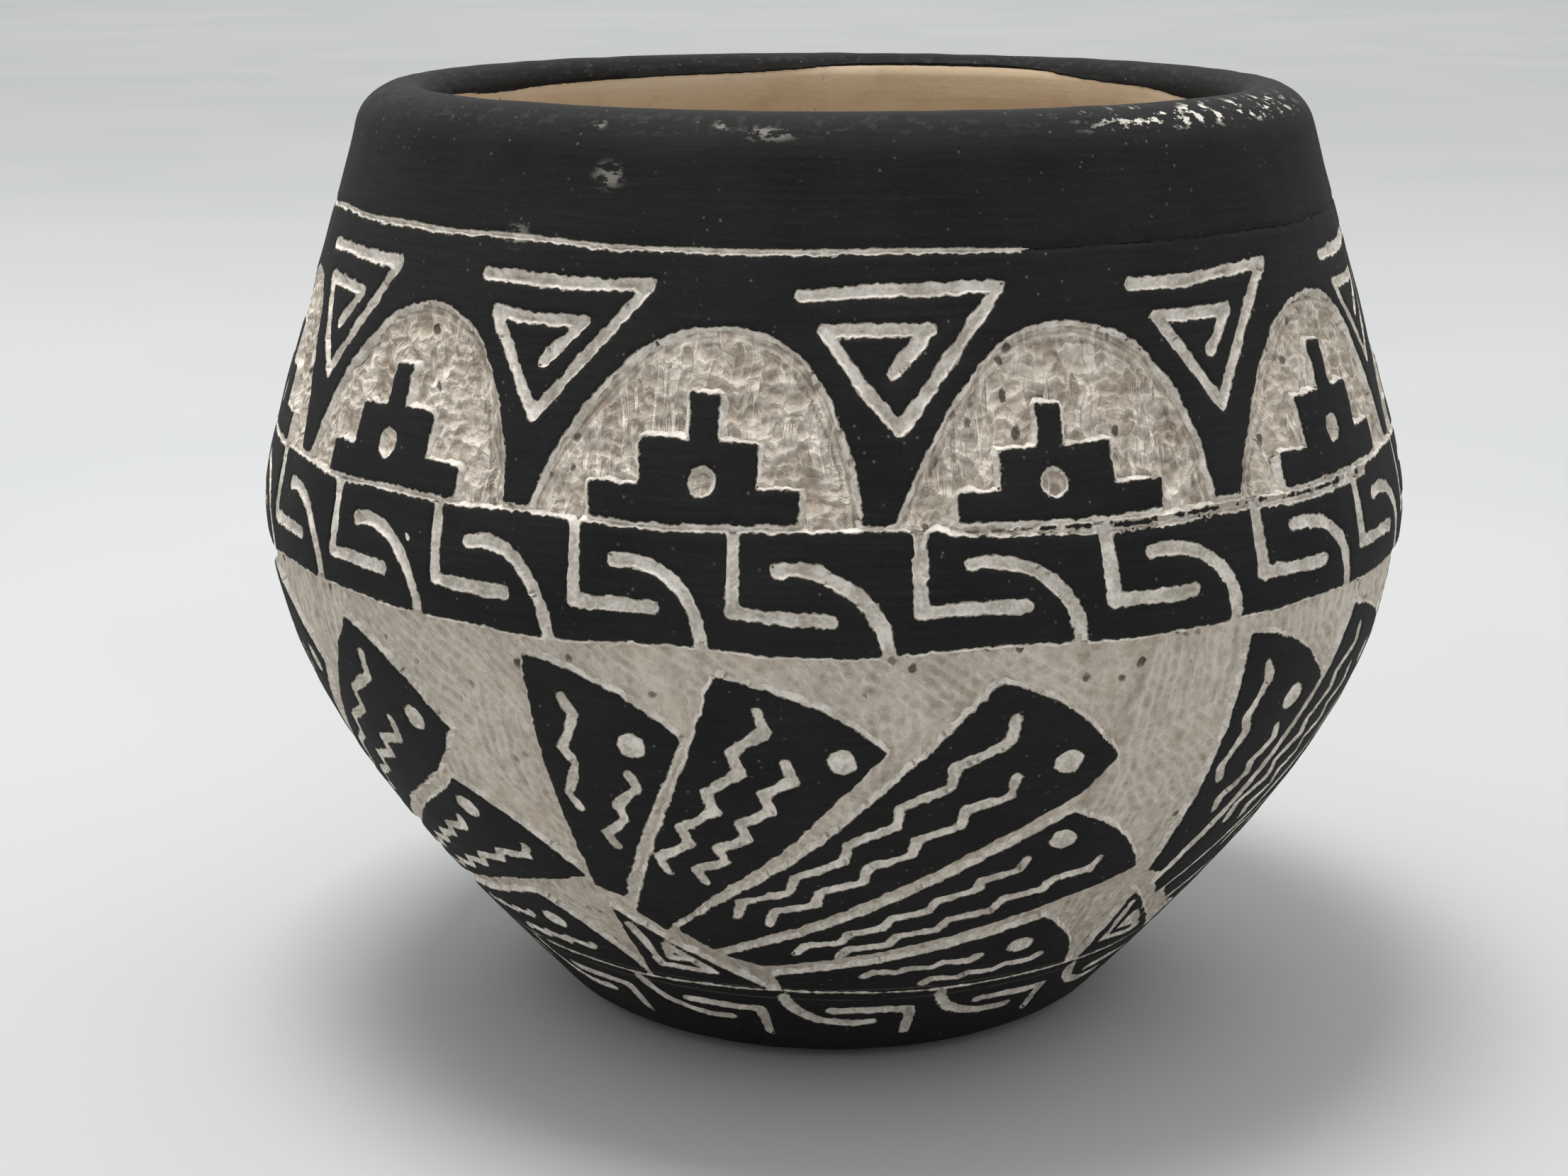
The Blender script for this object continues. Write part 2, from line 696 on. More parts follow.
def slip_patch(name, node, angles, runs, field, cell, ring=False, ragged=EDGE_RAGGED):
    """A raised patch of slip: a carved sheet, its cut walls and its back on the clay."""
    mean_radius = wall_radius(sum(runs) / 2)
    columns = round(radians(angles[1] - angles[0]) * mean_radius / cell)
    rows = round((runs[1] - runs[0]) / cell) + 1
    angle_axis, angle_cell = np.linspace(*angles, columns, endpoint=not ring, retstep=True)
    run_axis, run_cell = np.linspace(*runs, rows, retstep=True)
    angle, run = np.meshgrid(angle_axis, run_axis)
    radius = wall_radius(run)
    places = on_wall(angle, run)
    depth = carved_depth(field, angle, run, places, ragged)
    across, up, on_edge = snapped(depth, ring)
    quads, triangles = unpinched(*sheet_faces(depth, on_edge, ring))
    inward_across, inward_up = inward(depth, np.radians(angle_cell) * radius, run_cell)

    angle = angle + across * angle_cell
    run = np.clip(run + up * run_cell, *runs)
    to_cut = np.where(on_edge, 0, np.maximum(depth, 0))
    ripple = SLIP_RIPPLE * tremor(places, RIPPLE_SPAN, 5)
    lift = -EDGE_DROP * np.clip(1 - to_cut / EDGE_RUN, 0, 1) + ripple
    top = on_wall(angle, run, lift * ground_depth(run) / RELIEF)
    draft = np.where(on_edge, WALL_DRAFT, 0)
    back_angle = angle - np.degrees(inward_across * draft / radius)
    back_run = run - inward_up * draft
    back = on_wall(back_angle, back_run, -ground_depth(run) - WALL_SINK)

    mesh, used, wall_starts = shell_mesh(name, top, back, quads, triangles)
    mesh.materials.append(bpy.data.materials["matte_slip"])
    mesh.materials.append(bpy.data.materials["cut_clay"])
    black_edge = left_black(angle, run).ravel()[used]
    slots = np.ones(len(mesh.polygons), np.int32)
    slots[: len(quads) + len(triangles)] = 0
    slots[-len(wall_starts) :] = ~black_edge[wall_starts]
    mesh.polygons.foreach_set("material_index", slots)
    unworn = np.where(black_edge, 1, to_cut.ravel()[used])
    keep_values(mesh, "to_cut", np.tile(unworn, 2))
    piece = linked(name, mesh)
    select_alone(piece)
    bpy.ops.object.shade_smooth_by_angle(angle=radians(SLIP_SMOOTH_ANGLE))
    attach(piece, "root")
    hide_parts(node)


# Shader nodes written as expressions
class Value:
    """A socket's value, with arithmetic that adds Math nodes."""

    def __init__(self, nodes, socket):
        self.nodes = nodes
        self.socket = socket

    def maths(self, operation, *others):
        """A Math node on this value and others."""
        operands = dict(enumerate((self, *others)))
        return self.nodes.node("ShaderNodeMath", {"operation": operation}, operands)

    def __add__(self, other):
        return self.maths("ADD", other)

    def __sub__(self, other):
        return self.maths("SUBTRACT", other)

    def __rsub__(self, other):
        return self.maths("MULTIPLY_ADD", -1.0, other)

    def __mul__(self, other):
        return self.maths("MULTIPLY", other)

    def __truediv__(self, other):
        return self.maths("DIVIDE", other)

    __radd__ = __add__
    __rmul__ = __mul__

    def step(self, low, high):
        """A smooth rise from 0 at low to 1 at high."""
        sockets = {"Value": self, "From Min": low, "From Max": high}
        return self.nodes.node("ShaderNodeMapRange", {"interpolation_type": "SMOOTHSTEP"}, sockets)

    def towards(self, other, share):
        """This value turning into another."""
        return self + (other - self) * share


class Nodes:
    """The node tree of a material or a world, that expressions add to."""

    def __init__(self, owner):
        owner.use_nodes = True
        self.tree = owner.node_tree

    def node(self, kind, settings, inputs, output=0):
        """A node with its settings made first, then its sockets set or linked."""
        made = self.tree.nodes.new(kind)
        for name, value in settings.items():
            setattr(made, name, value)
        self.fill(made, inputs)
        return Value(self, made.outputs[output])

    def fill(self, made, inputs):
        """Sets a node's sockets, or links them."""
        for name, value in inputs.items():
            if isinstance(value, Value):
                self.tree.links.new(value.socket, made.inputs[name])
            else:
                made.inputs[name].default_value = value

    def parts(self, vector):
        """A vector's three values."""
        first = self.node("ShaderNodeSeparateXYZ", {}, {0: vector})
        return [Value(self, socket) for socket in first.socket.node.outputs]


class Finish(Nodes):
    """A material and its nodes. Lengths are metres, and a scale counts features in a metre."""

    def __init__(self, name):
        self.material = bpy.data.materials.new(name)
        super().__init__(self.material)
        self.place = self.node("ShaderNodeTexCoord", {}, {}, "Object")
        self.colour = None

    def vector(self, x, y, z=0.0):
        """A vector from its values."""
        return self.node("ShaderNodeCombineXYZ", {}, {"X": x, "Y": y, "Z": z})

    def noise(self, scale, detail=3.0, roughness=0.55, place=None):
        """A noise between 0 and 1."""
        sockets = {"Vector": place or self.place, "Scale": scale}
        sockets |= {"Detail": detail, "Roughness": roughness}
        return self.node("ShaderNodeTexNoise", {}, sockets)

    def cells(self, scale, place=None):
        """The distance to the nearest of scattered points."""
        sockets = {"Vector": place or self.place, "Scale": scale}
        return self.node("ShaderNodeTexVoronoi", {}, sockets)

    def kept(self, name):
        """A value that the mesh keeps at its points."""
        return self.node("ShaderNodeAttribute", {"attribute_name": name}, {}, "Fac")

    def mix(self, share, first, second):
        """One colour turning into another."""
        return self.node("ShaderNodeMix", {"data_type": "RGBA"}, {0: share, 6: first, 7: second}, 2)

    def wall_place(self):
        """Object coordinates unrolled: the distance round at the belly, and the height."""
        x, y, z = self.parts(self.place)
        turn = x.maths("ARCTAN2", y * -1)
        return turn * (BELLY_RADIUS * MM), z

    def ridges(self, place, pitch):
        """Sharp ridges with rounded furrows between them, from 0 to 1."""
        return 1 - (place * (pi / pitch)).maths("SINE").maths("ABSOLUTE")

    def coat(self, share, colour):
        """Lays a colour over the material's own, where the share says."""
        self.colour = self.mix(share, self.colour, colour)

    def surface(self, roughness, height, strength, depth, gloss=1.2):
        """What the shader shows, with bumps of this height, strength and depth."""
        bumps = {"Height": height, "Strength": strength, "Distance": depth}
        normal = self.node("ShaderNodeBump", {}, bumps)
        shown = {"Base Color": self.colour, "Roughness": roughness, "Normal": normal, "IOR": gloss}
        self.fill(self.tree.nodes["Principled BSDF"], shown)


def shade(red, green, blue):
    """A colour from its screen values of 0 to 255."""
    screen = np.array((red, green, blue)) / 255
    linear = np.where(screen <= 0.04045, screen / 12.92, ((screen + 0.055) / 1.055) ** 2.4)
    return (*linear.tolist(), 1.0)


BOWL_PALE = shade(226, 216, 202)
ARCH_PALE = shade(246, 236, 221)
GROUND_DIM = shade(158, 143, 127)
GROUND_TAN = shade(196, 176, 155)
PIT_BROWN = shade(74, 60, 53)
GROOVE_DIM = shade(186, 178, 166)
GROOVE_PALE = shade(244, 238, 229)
GROOVE_SMUT = shade(96, 87, 79)
SLIP_BLACK = shade(18, 18, 18)
SLIP_GREY = shade(39, 39, 38)
STREAK_GREY = shade(78, 77, 74)
SPECK_GREY = shade(112, 109, 103)
RUBBED_GREY = shade(164, 159, 149)
SCRATCH_GREY = shade(96, 93, 88)
CHIPPED_CLAY = shade(178, 168, 153)
LIP_CLAY = shade(222, 216, 204)
INSIDE_TAN = shade(198, 176, 146)
INSIDE_PALE = shade(211, 193, 167)
WIPED_PALE = shade(220, 204, 180)
STAIN_BROWN = shade(168, 142, 112)
INSIDE_SPECK = shade(104, 90, 77)
PAPER_GREY = shade(184, 186, 185)
PAPER_PALE = shade(189, 190, 189)


def combed(clay, around, up, wander):
    """Ridges of a comb: upright, hatched at a slant in patches, worn away in others."""
    upright = clay.ridges(around + wander, COMB_PITCH * MM)
    slanted = clay.ridges(around * 0.7 + up * 0.8 + wander, HATCH_PITCH * MM)
    comb = upright.towards(slanted, clay.noise(70.0, 1.0).step(0.5, 0.56))
    return comb * clay.noise(110.0, 2.0).step(0.36, 0.56)


def chattered(clay, bent, up):
    """Marks of a tool that hopped on its way down, out of step from column to column."""
    column = clay.noise(520.0, 2.0, 0.5, clay.vector(bent, up * 0.15))
    mark = (up / (CHATTER_PITCH * MM) + column * 2.5).maths("FRACT")
    return (mark.step(0.0, 0.75) - mark.step(0.75, 1.0)) * clay.noise(300.0, 2.0).step(0.3, 0.6)


def pitted(clay, around, up, in_arch, crumbs, lumps):
    """Torn pits, scarce on the bowl and thickest close under the band."""
    torn = clay.vector(around + crumbs * (0.8 * MM), up * 0.8 + lumps * (0.8 * MM))
    pits = 1 - clay.cells(420.0, torn).step(0.1, 0.2)
    under_band = up.step((BAND_FOOT - 5.0) * MM, (BAND_FOOT - 1.5) * MM) * (1 - in_arch)
    likely = clay.noise(150.0, 2.0) + in_arch * 0.05 + under_band * 0.14
    return pits * likely.step(0.53, 0.6)


def carved_clay():
    """Buff ground: scooped in the arches and trimmed along their edges, combed on the bowl."""
    clay = Finish("carved_clay")
    around, up = clay.wall_place()
    in_arch = up.step((BAND_FOOT + 2.0) * MM, BAND_LINE * MM)
    wander = (clay.noise(60.0, 2.0) - 0.5) * (7.0 * MM)
    bent = around + wander
    comb = combed(clay, around, up, wander)
    strokes = clay.noise(650.0, 2.0, 0.5, clay.vector(bent, up * 0.12))
    lumps = clay.noise(680.0, 1.0, 0.4, clay.vector(around, up * 1.1))
    crumbs = clay.noise(1500.0)
    broad = clay.noise(150.0)
    scoops = clay.cells(880.0, clay.vector(bent, up * 0.85))
    scoops = scoops * (0.35 + clay.noise(330.0, 2.0).step(0.3, 0.7))
    chatter = chattered(clay, bent, up)
    drags = 1 - (strokes - 0.5).maths("ABSOLUTE").step(0.005, 0.04)
    drags = drags * clay.noise(260.0, 2.0).step(0.4, 0.6) * in_arch
    pits = pitted(clay, around, up, in_arch, crumbs, lumps)
    to_slip = clay.kept("to_slip")
    trimmed = (1 - (to_slip + crumbs * 0.8).step(1.2, 2.2)) * in_arch
    streak = ((to_slip + lumps * 0.3) * (2 * pi / TRIM_PITCH)).maths("SINE") * 0.24

    on_arch = strokes * 0.7 + lumps * 0.5 + scoops * 0.9 + chatter * 0.3 + crumbs * 0.5 + drags * 0.2
    on_arch = on_arch + (streak - on_arch * 0.7) * trimmed
    on_bowl = comb * 0.5 + strokes * 0.25 + lumps * 0.4 + crumbs * 0.6
    height = on_bowl.towards(on_arch, in_arch) - pits * 0.5
    hollows = lumps.towards(scoops, in_arch)
    tone = hollows * 0.3 + crumbs * 0.4 + strokes * 0.3 + broad * 0.25 + comb * (1 - in_arch) * 0.44
    tone = tone + drags * 0.2 + (chatter - 0.3) * in_arch * 0.12 + streak * trimmed * 0.2
    clay.colour = clay.mix(tone.step(0.36, 0.88), GROUND_DIM, clay.mix(in_arch, BOWL_PALE, ARCH_PALE))
    clay.coat(broad.step(0.5, 0.75) * 0.35, GROUND_TAN)
    clay.coat(pits * 0.85, PIT_BROWN)
    clay.surface(0.86 + 0.1 * crumbs, height, 1.0, 0.8 * MM)


def cut_clay():
    """Clay in the grooves and on the cut edges, cleaner and smoother than the gouged ground."""
    clay = Finish("cut_clay")
    lumps = clay.noise(480.0, 2.0)
    fine = clay.noise(2600.0, 3.0, 0.65)
    tone = (lumps * 0.6 + fine * 0.5).step(0.38, 0.72)
    clay.colour = clay.mix(tone, GROOVE_DIM, GROOVE_PALE)
    smut = clay.noise(520.0, 4.0, 0.7).step(0.62, 0.74)
    clay.coat(smut * 0.5, GROOVE_SMUT)
    clay.surface(0.86 + 0.1 * fine, lumps + fine * 0.4, 0.7, 0.3 * MM)


def lip_chips(around, up, flakes):
    """Where the lip's edge has flaked off, mostly on the right of the front."""
    edge = up.step(*CHIPS_FOOT) * (1 - up.step(*CHIPS_HEAD))
    angle = around / (BELLY_RADIUS * MM)
    side = angle.step(*CHIPS_LEFT) * (1 - angle.step(*CHIPS_RIGHT))
    return flakes.step(0.54, 0.6) * edge * (side * 0.98 + 0.02)


def rub_spots(slip, flakes):
    """Rubs the slip thin in spots."""
    x, y, z = slip.parts(slip.place)
    for turn, height, size, flatness in RUBBED_SPOTS:
        middle = (on_wall(np.array(turn), run_at(height)) * (1, 1, flatness) * MM).tolist()
        ends = {0: slip.vector(x, y, z * flatness), 1: middle}
        off = slip.node("ShaderNodeVectorMath", {"operation": "DISTANCE"}, ends, "Value")
        rubbed = flakes.step(0.48, 0.58) * (1 - off.step(0.2 * size * MM, size * MM))
        slip.coat(rubbed * 0.55, RUBBED_GREY)


def scratch_base(slip, up):
    """Scratches faint rings above the foot."""
    wavy = up + (slip.noise(90.0, 2.0) - 0.5) * (0.7 * MM)
    for height in BASE_SCRATCHES:
        line = 1 - (wavy - height * MM).maths("ABSOLUTE").step(0.04 * MM, 0.15 * MM)
        faint = line * slip.noise(300.0, 2.0).step(0.3, 0.6)
        slip.coat(faint * 0.5, SCRATCH_GREY)


def matte_slip():
    """Matte black slip: rubbed rings, specks, and bare clay where the edges have chipped."""
    slip = Finish("matte_slip")
    around, up = slip.wall_place()
    rings = slip.noise(2400.0, 3.0, 0.6, slip.vector(around * 0.05, up))
    cloud = slip.noise(70.0, 4.0, 0.6)
    grain = slip.noise(3600.0, 2.0, 0.6)
    specks = 1 - slip.cells(800.0).step(0.05, 0.15)
    specks = specks * slip.noise(200.0, 2.0).step(0.42, 0.64)
    ragged = slip.noise(2600.0, 3.0, 0.6)
    chipped = 1 - (slip.kept("to_cut") - ragged * 0.3).step(-0.12, -0.02)
    flakes = slip.noise(1500.0, 4.0, 0.6, slip.vector(around * 0.35, up))

    tone = (cloud * 0.5 + rings * 0.35 + grain * 0.35).step(0.35, 0.85)
    slip.colour = slip.mix(tone, SLIP_BLACK, SLIP_GREY)
    streaks = rings.step(0.6, 0.78) * grain.step(0.5, 0.7) * 0.35
    slip.coat(streaks, STREAK_GREY)
    slip.coat(specks * 0.6, SPECK_GREY)
    rub_spots(slip, flakes)
    scratch_base(slip, up)
    slip.coat(chipped * 0.85, CHIPPED_CLAY)
    slip.coat(lip_chips(around, up, flakes) * 0.95, LIP_CLAY)
    roughness = 0.74 + 0.16 * cloud + 0.1 * grain
    height = rings * 0.3 + grain * 0.4 + cloud * 0.4 - specks * 0.2
    slip.surface(roughness, height, 0.4, 0.22 * MM, 1.3)


def inside_clay():
    """Bare tan clay inside, wiped round by hand."""
    clay = Finish("inside_clay")
    around, up = clay.wall_place()
    wiped = clay.noise(420.0, 3.0, 0.55, clay.vector(around * 0.05, up))
    cloud = clay.noise(60.0)
    grain = clay.noise(1400.0, 3.0, 0.6)
    specks = 1 - clay.cells(330.0).step(0.03, 0.1)
    clay.colour = clay.mix(cloud.step(0.3, 0.7), INSIDE_TAN, INSIDE_PALE)
    clay.coat(wiped.step(0.45, 0.75) * 0.45, WIPED_PALE)
    stains = clay.noise(260.0, 4.0, 0.6).step(0.5, 0.75)
    clay.coat(stains * 0.35, STAIN_BROWN)
    clay.coat(specks * grain.step(0.45, 0.6), INSIDE_SPECK)
    height = wiped * 0.6 + grain * 0.3
    clay.surface(0.82 + 0.1 * grain, height, 0.4, 0.4 * MM)


# The clay jar
GROUND_CELL = 1.45
INSIDE_CELL = 2.6
SPIN_STEPS = 250
WELD = 0.02 * MM
GROUND_CUTS = 2
CLAY_SMOOTH_ANGLE = 40
FOOT_POINTS = ((0, 0), (FOOT_RADIUS / 2, 0), (FOOT_RADIUS - 0.7, 0), (FOOT_RADIUS - 0.2, 0.15))
# What counts as outside, near the wall and above the foot, and the bare ground's borders
OUTSIDE_REACH = 2.0
FOOT_REACH = 1.0
BORDER = 0.5
FINE_MARGIN = 0.9
GROUND_MARGIN = 0.6
NOT_BARE = -9.0
TO_SLIP_SPAN = (-1, 4)
GROUND_ROUNDS = 3
# Height and span of the tool's wander, strokes, lumps and crumbs, and of the hand's marks inside
WANDER = (0.5, 13.0)
STROKES = (0.08, 7.0)
LUMPS = (0.1, 4.0)
CRUMBS = (0.12, 2.0)
WIPES = (0.08, 9.0)
# The strokes' pitch, and how strong they are: the mean, how far it swings and the most
STROKE_PITCH = 1.9
STROKE_MEAN = 0.55
STROKE_SWING = 0.6
STROKE_MOST = 1.3
# The bowl's share of the arches' roughness, and how far above the band's foot it ends
BOWL_SHARE = 0.4
BOWL_END = 4.0
# Where the hand's marks start, below the mouth and above the floor
WIPE_START = 6.0
WIPE_FLOOR = 1.0


def clay_profile():
    """Points of the clay from the foot's middle up the ground, over the lip and down inside."""
    mouth = run_inside(JAR_HEIGHT - LIP_INNER)
    runs = np.concatenate((np.arange(0, mouth, GROUND_CELL), np.arange(mouth, RUN[-1], INSIDE_CELL)))
    wall = on_wall(np.zeros(len(runs)), runs, -ground_depth(runs))
    upper = np.column_stack((-wall[:, 1], wall[:, 2]))
    belly = np.array((BELLY_RADIUS - WALL, BELLY_HEIGHT))
    floor = np.array((INNER_FLOOR_RADIUS, FLOOR_THICKNESS))
    bowl = bezier(belly, belly - (0, INNER_BOWL_HANDLE), floor + (INNER_FLOOR_HANDLE, 0), floor, 40)
    middle = [(INNER_FLOOR_RADIUS / 2, FLOOR_THICKNESS), (0, FLOOR_THICKNESS)]
    return np.concatenate((FOOT_POINTS, upper, bowl, middle))


def outside_place(places):
    """Whether points of the clay are on the carved outside, their angles and their runs."""
    radius = np.hypot(places[:, 0], places[:, 1])
    height = places[:, 2]
    angle = np.degrees(np.arctan2(places[:, 0], -places[:, 1]))
    run = run_at(height)
    outside = np.abs(radius - wall_radius(run)) < OUTSIDE_REACH
    outside &= (height > FOOT_REACH) & (height < JAR_HEIGHT - LIP_OUTER)
    for _ in range(GROUND_ROUNDS):
        off = RELIEF * np.interp(run, RUN, TANGENT[:, 0])
        run = run_at(height - off)
    return outside, angle, run


def bare_ground(places):
    """How far into bare ground points of the outside lie, from the nearest slip."""
    outside, angle, run = outside_place(places)
    height = np.interp(run, RUN, PROFILE[:, 1])
    bare = np.full(len(places), NOT_BARE)
    arches = outside & (height > BAND_LINE - BORDER) & (height < SHOULDER_LINE)
    bare[arches] = arch_field(angle[arches], run[arches])
    fans = outside & (height > BASE_LINE - BORDER) & (height < BAND_FOOT + BORDER)
    bare[fans] = -fan_field(angle[fans], run[fans])
    return bare


def scrape_lift(places, angle, run):
    """The tool's strokes in the carved ground: upright ridges, broken up along their length."""
    around = np.radians(angle) * BELLY_RADIUS
    wander = WANDER[0] * tremor(places, WANDER[1], 21)
    ridges = np.sin((around + wander) * 2 * pi / STROKE_PITCH)
    strength = np.clip(STROKE_MEAN + STROKE_SWING * tremor(places, STROKES[1], 22), 0, STROKE_MOST)
    lumps = LUMPS[0] * tremor(places, LUMPS[1], 23)
    crumbs = CRUMBS[0] * tremor(places, CRUMBS[1], 24)
    rough = np.where(run > run_at(BAND_FOOT + BOWL_END), 1.0, BOWL_SHARE)
    return rough * (STROKES[0] * ridges * strength + lumps + crumbs)


def face_centres(mesh):
    """The middles of a mesh's faces, in millimetres."""
    centres = np.empty(len(mesh.polygons) * 3)
    mesh.polygons.foreach_get("center", centres)
    return centres.reshape(-1, 3) / MM


def turned_jar():
    """The clay's profile turned round the axis, and made finer where the ground shows."""
    profile = clay_profile() * MM
    mesh = bpy.data.meshes.new("clay_jar")
    points = [(0, -radius, height) for radius, height in profile]
    mesh.from_pydata(points, [(i, i + 1) for i in range(len(points) - 1)], [])
    piece = linked("clay_jar", mesh)
    select_alone(piece)
    bpy.ops.object.mode_set(mode="EDIT")
    bpy.ops.mesh.select_all(action="SELECT")
    bpy.ops.mesh.spin(steps=SPIN_STEPS, angle=2 * pi, center=(0, 0, 0), axis=(0, 0, 1))
    bpy.ops.mesh.select_all(action="SELECT")
    bpy.ops.mesh.remove_doubles(threshold=WELD)
    bpy.ops.mesh.normals_make_consistent(inside=False)
    bpy.ops.mesh.select_mode(type="FACE")
    bpy.ops.mesh.select_all(action="DESELECT")
    bpy.ops.object.mode_set(mode="OBJECT")
    mesh.polygons.foreach_set("select", bare_ground(face_centres(mesh)) > -FINE_MARGIN)
    bpy.ops.object.mode_set(mode="EDIT")
    bpy.ops.mesh.subdivide(number_cuts=GROUND_CUTS)
    bpy.ops.object.mode_set(mode="OBJECT")
    return piece


def scrape(mesh):
    """Moves the jar's points as the tool left the ground and the hand the inside."""
    places = np.empty(len(mesh.vertices) * 3)
    mesh.vertices.foreach_get("co", places)
    places = places.reshape(-1, 3) / MM
    outside, angle, run = outside_place(places)
    scraped = on_wall(angle, run, scrape_lift(places, angle, run) - ground_depth(run))
    below_mouth = np.clip((JAR_HEIGHT - WIPE_START - places[:, 2]) / WIPE_START, 0, 1)
    wipe = WIPES[0] * below_mouth * tremor(places, WIPES[1], 31)
    to_axis = -places / np.linalg.norm(places * (1, 1, 0) + (0, 0, 1e-6), axis=1)[:, None]
    to_axis[:, 2] = 0
    above_floor = places[:, 2:] > FLOOR_THICKNESS + WIPE_FLOOR
    wiped = places + np.where(above_floor, wipe[:, None], 0) * to_axis
    places = np.where(outside[:, None], scraped, wiped)
    mesh.vertices.foreach_set("co", (places * MM).ravel())
    keep_values(mesh, "to_slip", np.clip(bare_ground(places), *TO_SLIP_SPAN))
    mesh.update()


def clay_jar():
    """The hollow jar with its grooves, its worked ground and its inside."""
    piece = turned_jar()
    mesh = piece.data
    scrape(mesh)
    for finish in ("cut_clay", "carved_clay", "inside_clay"):
        mesh.materials.append(bpy.data.materials[finish])
    centres = face_centres(mesh)
    outside = outside_place(centres)[0]
    slots = np.where(bare_ground(centres) > -GROUND_MARGIN, 1, 0)
    slots[~outside & (centres[:, 2] > FOOT_REACH)] = 2
    mesh.polygons.foreach_set("material_index", slots.astype(np.int32))
    bpy.ops.object.shade_smooth_by_angle(angle=radians(CLAY_SMOOTH_ANGLE))
    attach(piece, "root")
    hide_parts("clay_body")


# The pieces of slip
RIM_CELL = 0.6
RING_CELL = 0.3
TERRACE_CELL = 0.28
FAN_CELL = 0.32
RIM_RAGGED = 0.02
RIM_DEPTH = 5.5
RING_MARGIN = 1.0
RIM_MARGIN = 1.5
FOOT_MARGIN = 0.3
FAN_SIDES = (2.5, 3.0)
FAN_BELOW = 1.2
FAN_ABOVE = 1.5


def slip_rings():
    """The rim, the shoulder, the band and the base."""
    heights = (SLIP_FOOT, BASE_LINE, BAND_FOOT, BAND_LINE, SHOULDER_LINE)
    foot, base, band_foot, band, shoulder = run_at(heights)
    rim = (shoulder - RIM_MARGIN, run_inside(JAR_HEIGHT - RIM_DEPTH))
    whole = (-180, 180)
    slip_patch("rim_slip_coat", "rim_slip", whole, rim, rim_field, RIM_CELL, True, RIM_RAGGED)
    rings = (
        ("shoulder_slip_coat", "shoulder_slip", band - RING_MARGIN, shoulder, shoulder_field),
        ("wave_band_coat", "wave_band_slip", band_foot - RING_MARGIN, band, wave_field),
        ("base_slip_coat", "base_slip", foot - FOOT_MARGIN, base, base_field),
    )
    for name, node, lower, upper, field in rings:
        slip_patch(name, node, whole, (lower, upper + RING_MARGIN), field, RING_CELL, True)


def terraces():
    """The stepped block in each arch."""
    runs = (run_at(BAND_LINE) - RING_MARGIN, run_at(ARCH_TOP))
    for number, rise in enumerate(TERRACE_RISES):
        middle = ARCH_START + number * ARCH_STEP
        angles = (middle - ARCH_STEP / 2, middle + ARCH_STEP / 2)
        name, node = f"terrace_coat_{number + 1}", f"step_terrace_{number + 1}"
        slip_patch(name, node, angles, runs, terrace_field(rise), TERRACE_CELL)


def fans():
    """The feathers and the hub of each fan."""
    names = [f"feather_{number + 1}" for number in range(len(FEATHERS))] + ["hub"]
    outlines = [feather[0] for feather in FEATHERS] + [HUB_OUTLINE]
    for fan in range(FAN_COUNT):
        start = fan_angle(fan)
        for name, outline, field in zip(names, outlines, FAN_FIELDS):
            across = [start + point[0] * FRONT_FAN_STEP for point in outline]
            heights = [FAN_FOOT + point[1] * FAN_HEIGHT for point in outline]
            top = min(max(heights) + FAN_ABOVE, BAND_FOOT)
            node = f"fan_{fan + 1}_{name}"
            slip_patch(
                f"{node}_coat",
                node,
                (min(across) - FAN_SIDES[0], max(across) + FAN_SIDES[1]),
                (run_at(min(heights)) - FAN_BELOW, run_at(top)),
                lambda angle, run, field=field, start=start: field(angle - start, run),
                FAN_CELL,
            )


# Floor, light and camera
PHOTO_WIDTH = 2212
FOCAL_PIXELS = 3814.5
SENSOR = 36.0
CAMERA_PLACE = (-4.92, -270.75, 110.14)
CAMERA_PITCH = 14.48
CAMERA_NEAR = 0.01
FLOOR_SIZE = 8.0
# How the surroundings brighten from low in front to high behind
ROOM_LIGHT = (0.98, 0.99, 1.0, 1.0)
ROOM_TILT = 0.4
ROOM_GLOW = {"From Min": -0.4, "From Max": 1.0, "To Min": 0.25, "To Max": 1.1}
# Each lamp's name, place, aim, size and power
LAMPS = (
    ("top_lamp", (-0.12, 0.05, 0.95), (0, 0, 0.05), 0.35, 6.6),
    ("back_lamp", (0, 2.2, 1.6), (0, 2.2, 0), 1.4, 9.0),
)


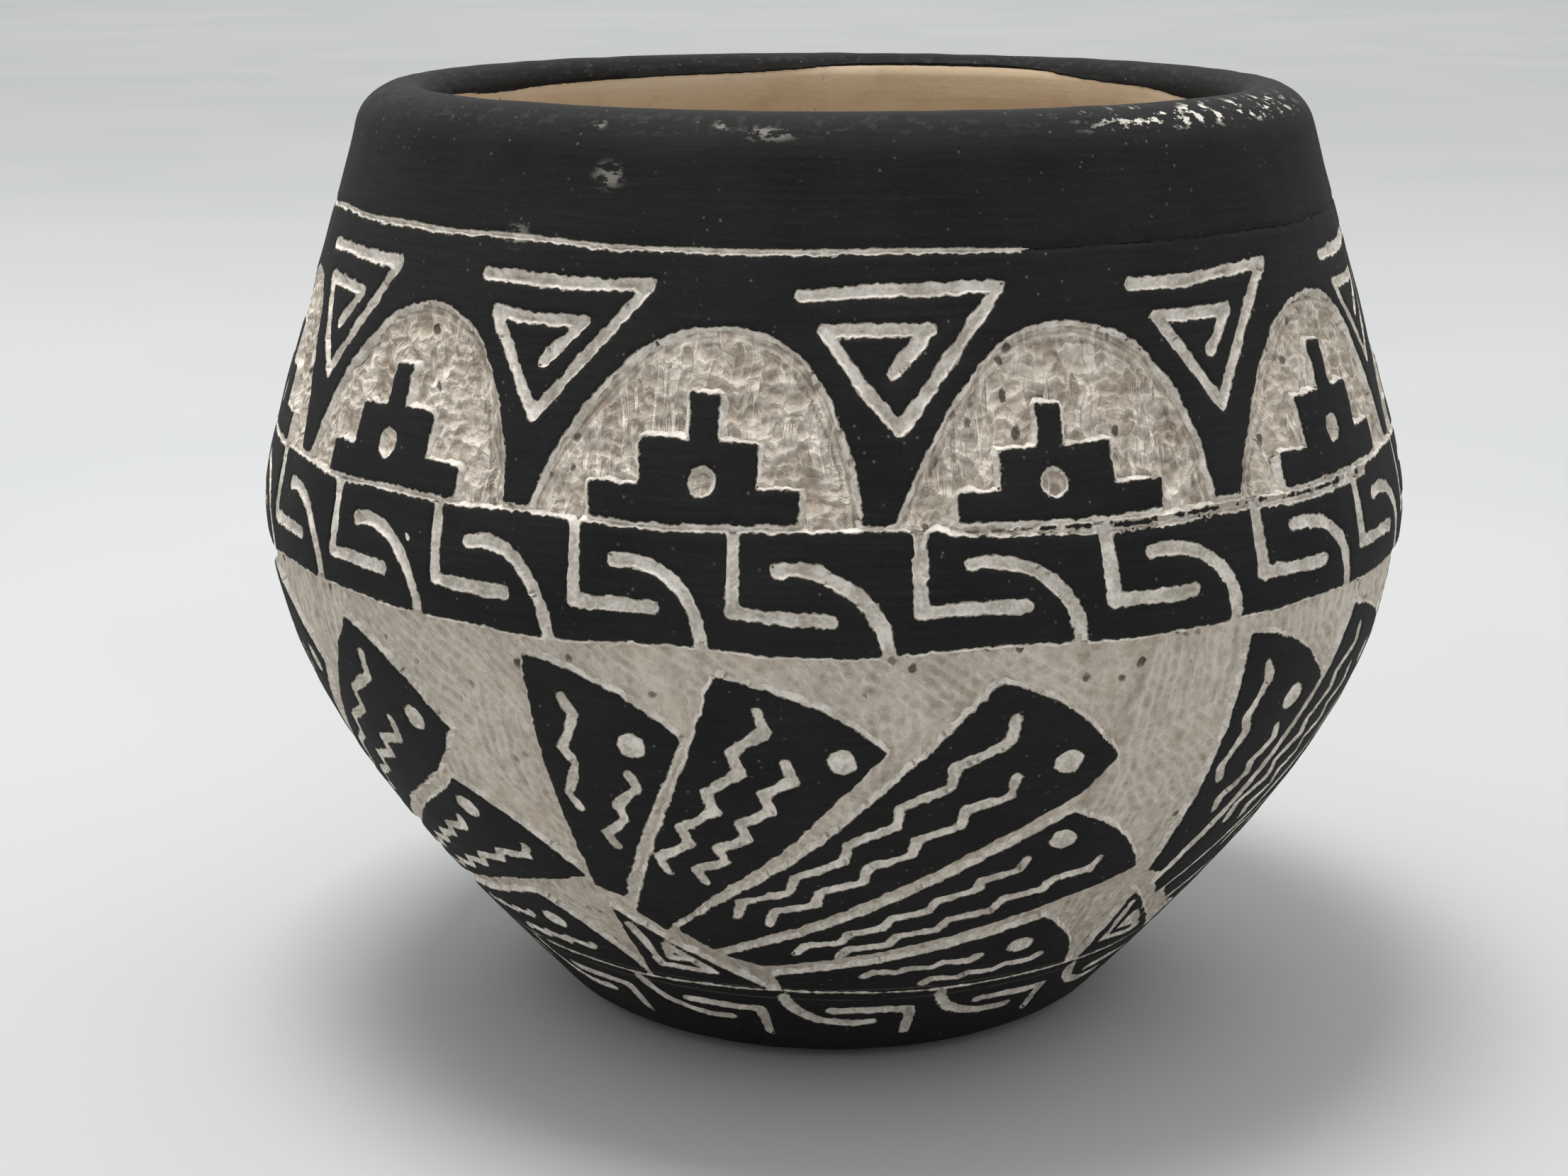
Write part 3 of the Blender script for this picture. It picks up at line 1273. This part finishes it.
def pale_floor():
    """A plain pale surface to stand on."""
    bpy.ops.object.select_all(action="DESELECT")
    bpy.ops.mesh.primitive_plane_add(size=FLOOR_SIZE, location=(0, 0, 0))
    floor = bpy.context.object
    floor.name = "floor"
    paper = Finish("pale_paper")
    cloud = paper.noise(6.0, 2.0)
    grain = paper.noise(900.0, 2.0)
    paper.colour = paper.mix(cloud.step(0.3, 0.7), PAPER_GREY, PAPER_PALE)
    paper.surface(0.9 + 0.05 * grain, grain, 0.1, 0.2 * MM)
    floor.data.materials.append(paper.material)


def soft_lamp(name, place, aim, size, power):
    """A square soft lamp turned towards a point."""
    lamp = bpy.data.lights.new(name, "AREA")
    lamp.size = size
    lamp.energy = power
    holder = linked(name, lamp)
    holder.location = place
    x, y, z = np.subtract(aim, place)
    holder.rotation_euler = (np.arctan2(np.hypot(x, y), -z), 0, np.arctan2(y, x) - pi / 2)


def pale_room():
    """Pale surroundings that light the jar softly from above and behind."""
    world = bpy.data.worlds.new("pale_room")
    bpy.context.scene.world = world
    nodes = Nodes(world)
    x, y, z = nodes.parts(nodes.node("ShaderNodeTexCoord", {}, {}, "Generated"))
    tilt = y.maths("MULTIPLY_ADD", ROOM_TILT, z)
    glow = nodes.node("ShaderNodeMapRange", {}, {"Value": tilt, **ROOM_GLOW})
    nodes.fill(nodes.tree.nodes["Background"], {"Color": ROOM_LIGHT, "Strength": glow})


def photo_camera():
    """The camera that took the photograph."""
    camera = bpy.data.cameras.new("photo_camera")
    camera.sensor_width = SENSOR
    camera.lens = FOCAL_PIXELS * SENSOR / PHOTO_WIDTH
    camera.clip_start = CAMERA_NEAR
    holder = linked("photo_camera", camera)
    holder.location = [value * MM for value in CAMERA_PLACE]
    holder.rotation_euler = (radians(90 - CAMERA_PITCH), 0, 0)
    bpy.context.scene.camera = holder


# Everything in its place
carved_clay()
cut_clay()
matte_slip()
inside_clay()
clay_jar()
slip_rings()
terraces()
fans()
pale_floor()
pale_room()
for lamp in LAMPS:
    soft_lamp(*lamp)
photo_camera()
bpy.context.scene.view_settings.view_transform = "Standard"
